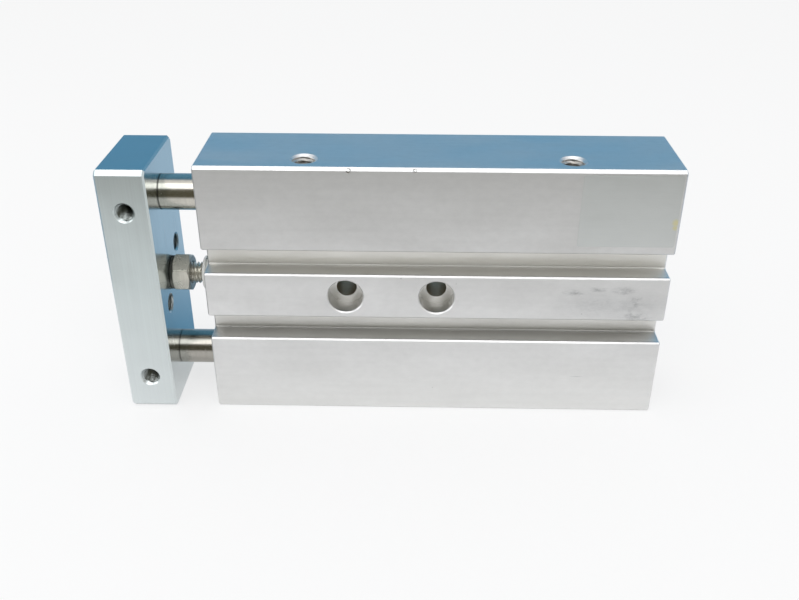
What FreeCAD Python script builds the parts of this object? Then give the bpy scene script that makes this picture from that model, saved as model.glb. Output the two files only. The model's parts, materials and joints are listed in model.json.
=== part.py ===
"""Guided pneumatic cylinder: two pistons side by side, joined by a yoke.

Both piston rods leave the same end of a flat block and are screwed to one yoke
plate, so the plate can't turn. An adjusting screw with a lock nut and a buffer
sets how far the yoke comes back.

Frame: +X runs from the yoke to the closed end, +Z up, +Y to the back. The origin
is half-way between the two mounting holes, in the plane of both rods.
The parts are drawn with the rods drawn in and the buffer resting on the block.
"""

import FreeCAD
import Part

import math
import os

V = FreeCAD.Vector

# ---- Driving dimensions, in millimetres --------------------------------------

# Block
housing_height = 60.0
housing_depth = 21.5
long_edge_chamfer = 0.65
end_edge_chamfer = 0.25

# Cylinder bores and rods
stroke = 25.0
bore_diameter = 16.0
bore_from_edge = 10.0
rod_diameter = 8.0
bore_mouth_chamfer = 0.5

# Sensor grooves in the front face, between the middle band and the bores
groove_from_middle = 5.3
groove_from_bore = 9.0
groove_depth = 5.1
groove_lip_chamfer = 0.3
groove_corner_radius = 0.4

# Mounting holes through the block
first_hole_from_face = 30.7
hole_spacing = 20.0
mounting_hole_diameter = 4.5
counterbore_diameter = 7.8
counterbore_depth = 4.6
hole_edge_chamfer = 0.25

# Air ports in the top face, and the drillings that join the two bores
port_diameter = 5.0
port_depth = 4.8
port_chamfer = 0.45
port_offset = 5.6
port_margin = 0.5
channel_diameter = 2.6
channel_offset = 3.0
channel_reach = 1.5
plug_diameter = 3.2
plug_length = 1.8

# Retaining rings
clip_inset = 1.0
clip_thickness = 1.0
clip_width = 1.5
clip_seat_depth = 0.4
clip_opening = 34.0
clip_lug_diameter = 2.6

# Guide cap at the rod end
guide_cap_length = 16.0
rod_seal_length = 3.6
rod_seal_width = 2.2
rod_bush_wall = 1.2
cap_ring_width = 1.8
cap_ring_height = 1.3

# Cushions and the cap at the closed end
front_cushion_thickness = 1.4
front_cushion_clearance = 0.5
rear_cushion_thickness = 2.0
end_cap_nose_length = 2.8
end_cap_nose_diameter = 10.0
end_cap_recess_diameter = 9.0
end_cap_recess_depth = 9.0

# Piston: a front half with a hub, then seal, magnet and rear half on that hub
piston_flange_length = 3.0
piston_seal_length = 3.0
magnet_length = 4.2
magnet_height = 2.0
hub_diameter = 9.0
piston_nose_diameter = 11.0
stud_diameter = 5.0
stud_end_length = 0.5
piston_nut_across_flats = 8.0
piston_nut_thickness = 2.7
retraction_reserve = 10.0

# Yoke plate
yoke_gap = 9.7
yoke_thickness = 10.5
yoke_height_less = 1.0
yoke_depth = 23.0
yoke_drop = 0.4
yoke_corner_chamfer = 1.0
yoke_rim_chamfer = 0.4
rod_seat_depth = 1.5
face_hole_offset = 5.2
thread_m4_diameter = 4.0
side_hole_from_top = 9.3
side_hole_from_bottom = 8.5
side_hole_depth = 6.5
thread_mouth_chamfer = 0.3

# Screws that hold the rods
rod_screw_diameter = 4.0
rod_screw_head_diameter = 7.0
rod_screw_head_height = 4.0
rod_screw_key = 3.0
rod_screw_key_depth = 2.0
rod_screw_grip = 7.0
screw_head_cover = 0.3
screw_tip_clearance = 0.3

# Adjusting screw, lock nut and buffer
stop_screw_diameter = 5.0
stop_screw_inset = 0.5
stop_screw_key = 2.5
stop_screw_key_depth = 3.0
stop_screw_tip_diameter = 3.0
stop_screw_tip_length = 1.4
lock_nut_across_flats = 8.0
lock_nut_thickness = 4.5
nut_chamfer_angle = 30.0
buffer_diameter = 8.0
buffer_thickness = 2.25
buffer_edge = 0.6

# Clearances
end_play = 0.3
cap_fit = 0.02
bush_fit = 0.03
seal_fit = 0.05
land_clearance = 0.3
rod_clearance = 0.5
clip_play = 0.1
thread_play = 0.05
screw_hole_clearance = 0.2
head_clearance = 0.3
nut_gap = 0.1
buffer_gap = 0.15

# ---- Places worked out from the driving dimensions ---------------------------

top = housing_height / 2
front = -housing_depth / 2
back = housing_depth / 2

bore_height = top - bore_from_edge
bore_heights = {"upper": bore_height, "lower": -bore_height}
groove_far = bore_height - groove_from_bore

bore_radius = bore_diameter / 2
rod_radius = rod_diameter / 2
bush_radius = rod_radius + bush_fit + rod_bush_wall
seal_pocket_radius = rod_radius + rod_seal_width
cap_radius = bore_radius - cap_fit
rebate_radius = bore_radius - cap_ring_height
flange_radius = bore_radius - land_clearance
stud_radius = stud_diameter / 2
hub_radius = hub_diameter / 2

# Lengths along the bore, added up from the rod end to the closed end
clip_groove_width = clip_thickness + clip_play
clip_stack = clip_inset + clip_groove_width

rod_face = -(first_hole_from_face + hole_spacing / 2)
guide_cap_front = rod_face + clip_stack
guide_cap_back = guide_cap_front + guide_cap_length
cap_ring_start = guide_cap_back - cap_ring_width
front_cushion_back = guide_cap_back + front_cushion_thickness
port_inset = front_cushion_back - rod_face + port_margin + port_diameter / 2

piston_out = front_cushion_back + end_play
piston_front = piston_out + stroke
piston_nose_length = rod_face + port_inset + port_diameter / 2 + end_play - piston_out
flange_start = piston_front + piston_nose_length
piston_seal_start = flange_start + piston_flange_length
magnet_start = piston_seal_start + piston_seal_length
rear_half_start = magnet_start + magnet_length
piston_back = rear_half_start + piston_flange_length
piston_nut_back = piston_back + piston_nut_thickness
stud_end = piston_nut_back + stud_end_length

# The end cap is as long as the guide cap with its cushion, so the ports lie alike
rear_cushion_front = stud_end + retraction_reserve
end_cap_front = rear_cushion_front + rear_cushion_thickness
end_cap_shoulder = end_cap_front + end_cap_nose_length
end_cap_back = end_cap_shoulder + guide_cap_length + front_cushion_thickness
closed_face = end_cap_back + clip_stack
housing_length = closed_face - rod_face
port_places = [rod_face + port_inset, closed_face - port_inset]
hole_places = [-hole_spacing / 2, hole_spacing / 2]

yoke_inner = rod_face - yoke_gap
yoke_outer = yoke_inner - yoke_thickness
yoke_height = housing_height - yoke_height_less
yoke_top = yoke_height / 2 - yoke_drop
yoke_bottom = yoke_top - yoke_height
yoke_front = -yoke_depth / 2
rod_end = yoke_inner - rod_seat_depth
screw_seat = yoke_outer + rod_screw_head_height + screw_head_cover

buffer_tip = rod_face - buffer_gap
buffer_back = buffer_tip - buffer_thickness
lock_nut_front = yoke_inner + nut_gap


# ---- Small tools -------------------------------------------------------------

def turned(outline, height=0.0):
    """A solid turned about a line along X at this height; outline is (x, radius) points."""
    points = [V(x, 0, height + radius) for x, radius in outline]
    face = Part.Face(Part.makePolygon(points + points[:1]))
    return face.revolve(V(0, 0, height), V(1, 0, 0), 360)


def ring(start, end, inner, outer, height=0.0):
    """A plain ring or, with no inner radius, a disc, between two places along X."""
    outline = [(start, inner), (start, outer), (end, outer), (end, inner)]
    return turned(outline, height)


def drill(mouth, direction, diameter, depth):
    """A round hole with a flat floor, cut inwards from its mouth."""
    return Part.makeCylinder(diameter / 2, depth, mouth, direction)


def countersink(mouth, direction, diameter, chamfer):
    """The cone that breaks the edge of a hole at its mouth."""
    radius = diameter / 2
    return Part.makeCone(radius + chamfer, radius, chamfer, mouth, direction)


def hexagon(start, length, across_flats, height=0.0):
    """A hexagonal bar along X with two flats lying level."""
    corner = across_flats / math.sqrt(3)
    points = []
    for side in range(7):
        turn = math.radians(60 * side)
        points.append(V(start, corner * math.cos(turn), height + corner * math.sin(turn)))
    return Part.Face(Part.makePolygon(points)).extrude(V(length, 0, 0))


def nut(start, thickness, across_flats, hole_radius, height=0.0):
    """A plain hexagon nut."""
    bar = hexagon(start, thickness, across_flats, height)
    return bar.cut(ring(start, start + thickness, 0, hole_radius, height))


# ---- Block -------------------------------------------------------------------

def housing_outline():
    """Section of the block in the YZ plane, with both sensor grooves in its front."""
    c = long_edge_chamfer
    lip = groove_lip_chamfer
    r = groove_corner_radius
    near = groove_from_middle
    far = groove_far
    floor = front + groove_depth
    bend = r * (1 - math.sqrt(0.5))

    edges = []
    here = V(0, front, -top + c)

    def line_to(y, z):
        nonlocal here
        edges.append(Part.makeLine(here, V(0, y, z)))
        here = V(0, y, z)

    def arc_to(middle_y, middle_z, y, z):
        nonlocal here
        edges.append(Part.Arc(here, V(0, middle_y, middle_z), V(0, y, z)).toShape())
        here = V(0, y, z)

    for low, high in ((-far, -near), (near, far)):
        line_to(front, low - lip)
        line_to(front + lip, low)
        line_to(floor - r, low)
        arc_to(floor - bend, low + bend, floor, low + r)
        line_to(floor, high - r)
        arc_to(floor - bend, high - bend, floor - r, high)
        line_to(front + lip, high)
        line_to(front, high + lip)
    line_to(front, top - c)
    line_to(front + c, top)
    line_to(back - c, top)
    line_to(back, top - c)
    line_to(back, -top + c)
    line_to(back - c, -top)
    line_to(front + c, -top)
    line_to(front, -top + c)
    return Part.Wire(edges)


def chamfer_ends(solid, size, places):
    """Breaks the outer edges of the flat ends that lie at these places along X."""
    edges = []
    for edge in solid.Edges:
        box = edge.BoundBox
        level = box.XLength < 1e-6
        if level and any(abs(box.XMin - place) < 1e-6 for place in places):
            edges.append(edge)
    return solid.makeChamfer(size, edges)


def bore_cut(height):
    """One cylinder bore, with its chamfered mouths and the seats of its clips."""
    seat = bore_radius + clip_seat_depth
    mouth = bore_radius + bore_mouth_chamfer
    clip_front = rod_face + clip_inset
    clip_back = closed_face - clip_inset
    outline = [
        (rod_face, 0),
        (rod_face, mouth),
        (rod_face + bore_mouth_chamfer, bore_radius),
        (clip_front, bore_radius),
        (clip_front, seat),
        (clip_front + clip_groove_width, seat),
        (clip_front + clip_groove_width, bore_radius),
        (clip_back - clip_groove_width, bore_radius),
        (clip_back - clip_groove_width, seat),
        (clip_back, seat),
        (clip_back, bore_radius),
        (closed_face - bore_mouth_chamfer, bore_radius),
        (closed_face, mouth),
        (closed_face, 0),
    ]
    return turned(outline, height)


def mounting_hole_cut(x):
    """A through hole with a counterbore for a screw head in the front face."""
    inward = V(0, 1, 0)
    mouth = V(x, front, 0)
    cuts = [
        drill(mouth, inward, mounting_hole_diameter, housing_depth),
        drill(mouth, inward, counterbore_diameter, counterbore_depth),
        countersink(mouth, inward, counterbore_diameter, hole_edge_chamfer),
    ]
    return cuts[0].multiFuse(cuts[1:])


def port_cut(x):
    """An air port from the top face down into the upper bore."""
    down = V(0, 0, -1)
    mouth = V(x, -port_offset, top)
    hole = drill(mouth, down, port_diameter, port_depth)
    return hole.fuse(countersink(mouth, down, port_diameter, port_chamfer))


def channel_cut(x):
    """A drilling up from the bottom face that joins both bores, with its plug seat."""
    up = V(0, 0, 1)
    mouth = V(x, channel_offset, -top)
    wall_dip = math.sqrt(bore_radius ** 2 - channel_offset ** 2)
    depth = top + bore_height - wall_dip + channel_reach
    hole = drill(mouth, up, channel_diameter, depth)
    return hole.fuse(drill(mouth, up, plug_diameter, plug_length))


def make_housing():
    block = Part.Face(housing_outline()).extrude(V(housing_length, 0, 0))
    block.translate(V(rod_face, 0, 0))
    block = chamfer_ends(block, end_edge_chamfer, (rod_face, closed_face))
    cuts = [bore_cut(height) for height in bore_heights.values()]
    cuts += [mounting_hole_cut(x) for x in hole_places]
    cuts += [port_cut(x) for x in port_places]
    cuts += [channel_cut(x) for x in port_places]
    return block.cut(cuts)


def make_channel_plugs():
    up = V(0, 0, 1)
    radius = plug_diameter / 2
    return [
        Part.makeCylinder(radius, plug_length, V(x, channel_offset, -top), up)
        for x in port_places
    ]


# ---- What closes and guides each bore ----------------------------------------

def make_clip(start, height, side):
    """A retaining ring: an open ring, narrower towards its two lugs."""
    outer = bore_radius + clip_seat_depth - cap_fit
    inner = outer - clip_width
    along = V(clip_thickness, 0, 0)
    middle = V(start, 0, height)
    off_centre = clip_width / 4
    body = Part.makeCylinder(outer, clip_thickness, middle, V(1, 0, 0))
    window = Part.makeCylinder(
        inner, clip_thickness, middle - V(0, 0, side * off_centre), V(1, 0, 0)
    )
    half = math.radians(clip_opening / 2)
    reach = 2 * outer
    wedge = Part.Face(Part.makePolygon([
        middle,
        middle + V(0, reach * math.sin(half), -side * reach * math.cos(half)),
        middle + V(0, -reach * math.sin(half), -side * reach * math.cos(half)),
        middle,
    ])).extrude(along)
    body = body.cut([window, wedge])

    lug_radius = clip_lug_diameter / 2
    lug_place = bore_radius - land_clearance - lug_radius
    lug_turn = half + math.asin(lug_radius / lug_place)
    for hand in (1, -1):
        centre = middle + V(
            0,
            hand * lug_place * math.sin(lug_turn),
            -side * lug_place * math.cos(lug_turn),
        )
        body = body.fuse(Part.makeCylinder(lug_radius, clip_thickness, centre, V(1, 0, 0)))
    return body.removeSplitter()


def make_clips():
    clips = []
    for height in bore_heights.values():
        side = math.copysign(1, height)
        clips.append(make_clip(guide_cap_front - clip_thickness, height, side))
        clips.append(make_clip(end_cap_back, height, side))
    return clips


def make_guide_cap(height):
    """The cap at the rod end: a pocket for the rod seal, a bush, a rebate for a ring."""
    seal_back = guide_cap_front + rod_seal_length
    outline = [
        (guide_cap_front, seal_pocket_radius),
        (guide_cap_front, cap_radius),
        (cap_ring_start, cap_radius),
        (cap_ring_start, rebate_radius),
        (guide_cap_back, rebate_radius),
        (guide_cap_back, bush_radius),
        (seal_back, bush_radius),
        (seal_back, seal_pocket_radius),
    ]
    return turned(outline, height)


def make_rod_bush(height):
    start = guide_cap_front + rod_seal_length
    return ring(start, guide_cap_back, rod_radius + bush_fit, bush_radius, height)


def make_rod_seals():
    """Wiper seals, level with the outer face of the guide caps."""
    end = guide_cap_front + rod_seal_length
    inner = rod_radius + seal_fit
    return [
        ring(guide_cap_front, end, inner, seal_pocket_radius, height)
        for height in bore_heights.values()
    ]


def make_cap_rings():
    """The sealing rings in the rebates of the guide caps and the end caps."""
    rings = []
    for height in bore_heights.values():
        for start in (cap_ring_start, end_cap_shoulder):
            end = start + cap_ring_width
            rings.append(ring(start, end, rebate_radius, bore_radius, height))
    return rings


def make_front_cushions():
    inner = rod_radius + rod_clearance
    outer = bore_radius - front_cushion_clearance
    return [
        ring(guide_cap_back, front_cushion_back, inner, outer, height)
        for height in bore_heights.values()
    ]


def make_end_cap(height):
    """The cap at the closed end: a nose with its cushion, and a recess outside."""
    nose = end_cap_nose_diameter / 2
    recess = end_cap_recess_diameter / 2
    floor = end_cap_back - end_cap_recess_depth
    ring_end = end_cap_shoulder + cap_ring_width
    outline = [
        (end_cap_front, 0),
        (end_cap_front, nose),
        (end_cap_shoulder, nose),
        (end_cap_shoulder, rebate_radius),
        (ring_end, rebate_radius),
        (ring_end, cap_radius),
        (end_cap_back, cap_radius),
        (end_cap_back, recess),
        (floor, recess),
        (floor, 0),
    ]
    return turned(outline, height)


def make_rear_cushions():
    radius = end_cap_nose_diameter / 2
    return [
        ring(rear_cushion_front, end_cap_front, 0, radius, height)
        for height in bore_heights.values()
    ]


# ---- Pistons and rods --------------------------------------------------------

def make_piston_rod(height):
    """A rod from the yoke to the piston, with a stud for the piston and its nut."""
    tapped = rod_screw_diameter / 2
    tapped_end = rod_end + rod_screw_grip + screw_tip_clearance
    outline = [
        (rod_end, tapped),
        (rod_end, rod_radius),
        (piston_front, rod_radius),
        (piston_front, stud_radius),
        (stud_end, stud_radius),
        (stud_end, 0),
        (tapped_end, 0),
        (tapped_end, tapped),
    ]
    return turned(outline, height)


def make_piston_front(height):
    """Front half of the piston: nose, flange, and the hub that carries the rest."""
    nose = piston_nose_diameter / 2
    outline = [
        (piston_front, stud_radius),
        (piston_front, nose),
        (flange_start, nose),
        (flange_start, flange_radius),
        (piston_seal_start, flange_radius),
        (piston_seal_start, hub_radius),
        (rear_half_start, hub_radius),
        (rear_half_start, stud_radius),
    ]
    return turned(outline, height)


def make_piston_seals():
    outer = bore_radius - seal_fit
    return [
        ring(piston_seal_start, magnet_start, hub_radius, outer, height)
        for height in bore_heights.values()
    ]


def make_magnet(height):
    outer = hub_radius + magnet_height
    return ring(magnet_start, rear_half_start, hub_radius, outer, height)


def make_piston_rear(height):
    """Rear half of the piston, clamped against the hub by the piston nut."""
    return ring(rear_half_start, piston_back, stud_radius, flange_radius, height)


def make_piston_nuts():
    return [
        nut(piston_back, piston_nut_thickness, piston_nut_across_flats, stud_radius, height)
        for height in bore_heights.values()
    ]


# ---- Yoke and what it carries ------------------------------------------------

def make_yoke_plate():
    """The plate that joins both rods, with its seats and threaded holes."""
    c = yoke_corner_chamfer
    far = -yoke_front
    corners = [
        (yoke_front, yoke_bottom + c), (yoke_front, yoke_top - c),
        (yoke_front + c, yoke_top), (far - c, yoke_top),
        (far, yoke_top - c), (far, yoke_bottom + c),
        (far - c, yoke_bottom), (yoke_front + c, yoke_bottom),
    ]
    points = [V(yoke_outer, y, z) for y, z in corners]
    plate = Part.Face(Part.makePolygon(points + points[:1]))
    plate = plate.extrude(V(yoke_thickness, 0, 0))
    plate = chamfer_ends(plate, yoke_rim_chamfer, (yoke_outer, yoke_inner))

    inward = V(1, 0, 0)
    outward = V(-1, 0, 0)
    cuts = []
    for height in bore_heights.values():
        outside = V(yoke_outer, 0, height)
        inside = V(yoke_inner, 0, height)
        hole = rod_screw_diameter + 2 * screw_hole_clearance
        head_hole = rod_screw_head_diameter + 2 * head_clearance
        cuts += [
            drill(outside, inward, hole, yoke_thickness),
            drill(outside, inward, head_hole, screw_seat - yoke_outer),
            drill(inside, outward, rod_diameter, rod_seat_depth),
        ]
    threads = [(0, 0, stop_screw_diameter)]
    threads += [
        (hand * face_hole_offset, hand * face_hole_offset, thread_m4_diameter)
        for hand in (1, -1)
    ]
    for y, z, diameter in threads:
        outside = V(yoke_outer, y, z)
        inside = V(yoke_inner, y, z)
        cuts += [
            drill(outside, inward, diameter, yoke_thickness),
            countersink(outside, inward, diameter, thread_mouth_chamfer),
            countersink(inside, outward, diameter, thread_mouth_chamfer),
        ]
    into = V(0, 1, 0)
    middle = (yoke_inner + yoke_outer) / 2
    for z in (yoke_top - side_hole_from_top, yoke_bottom + side_hole_from_bottom):
        mouth = V(middle, yoke_front, z)
        cuts += [
            drill(mouth, into, thread_m4_diameter, side_hole_depth),
            countersink(mouth, into, thread_m4_diameter, thread_mouth_chamfer),
        ]
    return plate.cut(cuts)


def make_rod_screws():
    """Socket head screws that pull each rod into its seat in the yoke."""
    screws = []
    head_start = screw_seat - rod_screw_head_height
    for height in bore_heights.values():
        shank = rod_screw_diameter / 2
        outline = [
            (head_start, 0),
            (head_start, rod_screw_head_diameter / 2),
            (screw_seat, rod_screw_head_diameter / 2),
            (screw_seat, shank),
            (rod_end + rod_screw_grip, shank),
            (rod_end + rod_screw_grip, 0),
        ]
        key = hexagon(head_start, rod_screw_key_depth, rod_screw_key, height)
        screws.append(turned(outline, height).cut(key))
    return screws


def make_stop_screw():
    """The adjusting screw: a key hole at its outer end, a tip for the buffer."""
    start = yoke_outer + stop_screw_inset
    radius = stop_screw_diameter / 2 - thread_play
    tip = stop_screw_tip_diameter / 2
    outline = [
        (start, 0),
        (start, tip),
        (start + radius - tip, radius),
        (buffer_back, radius),
        (buffer_back, tip),
        (buffer_back + stop_screw_tip_length, tip),
        (buffer_back + stop_screw_tip_length, 0),
    ]
    key = hexagon(start, stop_screw_key_depth, stop_screw_key)
    return turned(outline).cut(key)


def make_lock_nut():
    """The lock nut, with the corners of both faces turned to a cone."""
    flat = lock_nut_across_flats / 2
    corner = lock_nut_across_flats / math.sqrt(3)
    rise = (corner - flat) * math.tan(math.radians(nut_chamfer_angle))
    start = lock_nut_front
    end = lock_nut_front + lock_nut_thickness
    blank = nut(start, lock_nut_thickness, lock_nut_across_flats, stop_screw_diameter / 2)
    turning = turned([
        (start, 0), (start, flat), (start + rise, corner),
        (end - rise, corner), (end, flat), (end, 0),
    ])
    return blank.common(turning)


def make_stop_buffer():
    """A soft round buffer, pushed on the tip of the adjusting screw."""
    hole = stop_screw_tip_diameter / 2 + thread_play
    hole_end = buffer_back + stop_screw_tip_length + thread_play
    seat = buffer_back + thread_play
    rim = buffer_diameter / 2
    return turned([
        (seat, hole),
        (seat, rim - buffer_edge),
        (seat + buffer_edge, rim),
        (buffer_tip - buffer_edge, rim),
        (buffer_tip, rim - buffer_edge),
        (buffer_tip, 0),
        (hole_end, 0),
        (hole_end, hole),
    ])


# ---- Files -------------------------------------------------------------------

def build_nodes():
    nodes = {
        "housing": make_housing(),
        "channel_plugs": make_channel_plugs(),
        "retaining_rings": make_clips(),
        "rod_seals": make_rod_seals(),
        "cap_sealing_rings": make_cap_rings(),
        "front_cushions": make_front_cushions(),
        "rear_cushions": make_rear_cushions(),
        "piston_seals": make_piston_seals(),
        "piston_nuts": make_piston_nuts(),
        "yoke_plate": make_yoke_plate(),
        "rod_screws": make_rod_screws(),
        "stop_screw": make_stop_screw(),
        "lock_nut": make_lock_nut(),
        "stop_buffer": make_stop_buffer(),
    }
    for name, height in bore_heights.items():
        nodes["guide_cap_" + name] = make_guide_cap(height)
        nodes["rod_bush_" + name] = make_rod_bush(height)
        nodes["end_cap_" + name] = make_end_cap(height)
        nodes["piston_rod_" + name] = make_piston_rod(height)
        nodes["piston_front_" + name] = make_piston_front(height)
        nodes["piston_rear_" + name] = make_piston_rear(height)
        nodes["magnet_ring_" + name] = make_magnet(height)
    return nodes


def main():
    os.makedirs("parts", exist_ok=True)
    for name, made in build_nodes().items():
        shape = Part.makeCompound(made) if isinstance(made, list) else made
        if not shape.isValid():
            raise ValueError(name + " is not a valid shape")
        shape.exportStep(os.path.join("parts", name + ".step"))
        print(f"{name:22s} solids {len(shape.Solids)}  volume {shape.Volume:9.1f}")
    print(f"housing length {housing_length:.2f}, port inset {port_inset:.2f}")


main()
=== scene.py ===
"""Looks for a guided pneumatic cylinder: a flat twin-bore block, two rods and a yoke.

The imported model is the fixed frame. This script gives its parts their finishes, adds
threads, knurling, clips with lug holes and a bare foil label, and sets up the studio.
All lengths in the settings are in millimetres, and every piece is made in metres.
"""

import json
import math
from functools import partialmethod, reduce
from operator import or_

import bmesh
import bpy
from mathutils import Euler, Matrix, Vector


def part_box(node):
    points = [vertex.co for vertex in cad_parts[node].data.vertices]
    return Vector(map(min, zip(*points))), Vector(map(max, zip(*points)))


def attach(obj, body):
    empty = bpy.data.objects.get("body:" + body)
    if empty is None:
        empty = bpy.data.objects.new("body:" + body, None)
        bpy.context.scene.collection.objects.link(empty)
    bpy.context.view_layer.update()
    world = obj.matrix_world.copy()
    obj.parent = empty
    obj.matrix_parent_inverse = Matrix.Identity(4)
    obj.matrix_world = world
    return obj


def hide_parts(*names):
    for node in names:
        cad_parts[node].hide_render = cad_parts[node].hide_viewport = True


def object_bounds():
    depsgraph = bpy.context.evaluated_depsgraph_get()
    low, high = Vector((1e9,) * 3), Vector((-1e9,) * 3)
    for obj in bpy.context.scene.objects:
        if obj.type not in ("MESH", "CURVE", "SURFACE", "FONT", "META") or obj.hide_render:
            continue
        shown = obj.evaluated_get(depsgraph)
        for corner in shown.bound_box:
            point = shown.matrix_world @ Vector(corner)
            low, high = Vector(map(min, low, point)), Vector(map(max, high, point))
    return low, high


bl_info = {
    "name": "Guided cylinder looks",
    "version": (1, 0, 0),
    "blender": (4, 5, 0),
    "location": "3D View > Sidebar > Cylinder",
    "description": "Finishes, threads, clips, label and studio for a guided pneumatic cylinder",
    "category": "Object",
}

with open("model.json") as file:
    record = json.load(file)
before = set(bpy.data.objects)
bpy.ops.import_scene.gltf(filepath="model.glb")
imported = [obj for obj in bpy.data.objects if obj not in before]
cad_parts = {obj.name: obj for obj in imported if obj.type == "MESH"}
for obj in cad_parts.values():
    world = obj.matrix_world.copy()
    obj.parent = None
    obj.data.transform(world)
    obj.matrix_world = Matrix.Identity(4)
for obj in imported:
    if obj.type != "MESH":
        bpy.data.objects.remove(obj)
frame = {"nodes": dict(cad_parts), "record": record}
cad_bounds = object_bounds()

MM = 0.001
# How far the plain side of a thread's sleeve lies behind the threaded one, in mm.
SLEEVE_WALL = 0.05
TURNED_COLUMNS = 72


# ---- Colours and places ----

def linear(code):
    """A hex sRGB colour as the linear colour that Blender stores."""
    values = [int(code[i:i + 2], 16) / 255 for i in (1, 3, 5)]
    return tuple(
        v / 12.92 if v <= 0.04045 else ((v + 0.055) / 1.055) ** 2.4 for v in values
    )


block_low, block_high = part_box("housing")
yoke_low, yoke_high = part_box("yoke_plate")
front, top = block_low.y / MM, block_high.z / MM
rod_heights = [
    sum(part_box(rod), Vector()).z / 2 for rod in ("piston_rod_upper", "piston_rod_lower")
]
mounts = {mount["name"]: mount for mount in frame["record"]["mounts"]}


# ---- Settings ----

def number(name, description, default):
    return bpy.props.FloatProperty(name=name, description=description, default=default, min=0.0)


def colour(name, description, code):
    return bpy.props.FloatVectorProperty(
        name=name, description=description, subtype="COLOR", size=3,
        min=0.0, max=1.0, default=linear(code),
    )


class ThreadSizes(bpy.types.PropertyGroup):
    m5_pitch: number("M5 pitch", "Pitch of the M5 threads in mm", 0.8)
    m5_depth: number("M5 depth", "Depth of the M5 thread form in mm", 0.45)
    m4_pitch: number("M4 pitch", "Pitch of the M4 threads in mm", 0.7)
    m4_depth: number("M4 depth", "Depth of the M4 thread form in mm", 0.38)
    rows_per_pitch: bpy.props.IntProperty(
        name="Rows per pitch", description="Mesh rows along one pitch", default=8, min=4, max=24
    )
    steps_per_turn: bpy.props.IntProperty(
        name="Steps per turn", description="Mesh columns round one turn", default=44, min=12, max=96
    )


class FittingSizes(bpy.types.PropertyGroup):
    rib_count: bpy.props.IntProperty(
        name="Knurl ribs", description="Ribs round each rod screw's head", default=36, min=8, max=90
    )
    rib_height: number("Rib height", "Height of a knurl rib in mm", 0.12)
    lug_hole: number("Lug hole", "Diameter of the plier holes in the clips, in mm", 1.2)
    nut_across_flats: number("Nut across flats", "Key size of the lock nut in mm", 8.0)
    nut_stand_off: number("Nut stand-off", "From the solid nut's back to the nut, in mm", 0.55)
    buffer_rounding: number("Buffer rounding", "Edge radius of the soft buffer in mm", 0.75)
    label_length: number("Label length", "Length of the foil label along the block in mm", 20.4)
    label_height: number("Label height", "Height of the foil label in mm", 16.1)
    label_thickness: number("Label thickness", "Thickness of the foil in mm", 0.06)
    label_corner: number("Label corner", "Corner radius of the foil in mm", 0.5)
    label_from_end: number("Label from end", "From the closed end to the label in mm", 0.6)
    label_from_top: number("Label from top", "From the top face to the label in mm", 1.0)


class Finishes(bpy.types.PropertyGroup):
    block: colour("Block", "Anodised aluminium of the block", "#e7e7e7")
    smudge: colour("Smudge", "Grey rub marks on the block", "#85888a")
    plate: colour("Yoke", "Milled aluminium of the yoke", "#cfd8d8")
    turned: colour("Caps", "Turned aluminium of the caps and pistons", "#c4c4c2")
    rod: colour("Rods", "Ground and hardened rods", "#cdc9c0")
    plated: colour("Nut and screw", "Plated steel of the nut and screws", "#d8d5ca")
    spring: colour("Clips", "Phosphated spring steel of the clips", "#4a4a4c")
    bronze: colour("Bushes", "Bearing bronze of the rod bushes", "#b98a52")
    rubber: colour("Seals", "Rubber of the seals and cushions", "#26262a")
    buffer: colour("Buffer", "Pale plastic of the stop buffer", "#fffefa")
    magnet: colour("Magnet", "Pressed magnet compound", "#4b4a4d")
    foil: colour("Label", "Bare silver foil of the label", "#d4d7d6")
    glue: colour("Glue", "Old glue at the label's edge", "#dcd6ab")


class Studio(bpy.types.PropertyGroup):
    lens: number("Lens", "Focal length in mm on a 36 mm sensor", 40.7)
    camera_place: bpy.props.FloatVectorProperty(
        name="Camera place", description="Place of the camera in mm", size=3,
        default=(5.176, -182.822, 97.548),
    )
    camera_turn: bpy.props.FloatVectorProperty(
        name="Camera turn", description="Turn of the camera in degrees", size=3,
        default=(60.3, -0.1146, 1.16),
    )
    floor_size: number("Floor size", "Side of the floor in mm", 6000.0)
    floor: colour("Floor", "Pale floor", "#f4f5f6")
    # The shade is the part's shadow, painted on the card where it lies just behind the part.
    shade: colour("Shade", "Blue card just behind the part, seen only in its gloss", "#4f84a4")
    low_sky: colour("Low sky", "Blue card on the floor behind the part", "#aec8de")
    sky: colour("Sky", "Blue card behind the part at eye level", "#659ec0")
    high_sky: colour("High sky", "Blue card above the part", "#3f7998")
    flag: colour("Flag", "Dark card before the part, seen only in its gloss", "#5f5c4c")
    overhead: number("Overhead lamp", "Power of the soft lamp above in W", 1.5)
    side: number("Side lamp", "Power of the soft lamp at the left in W", 0.5)
    ambient: number("Ambient", "Strength of the soft light from all round", 0.75)


# ---- Node helpers ----

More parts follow.
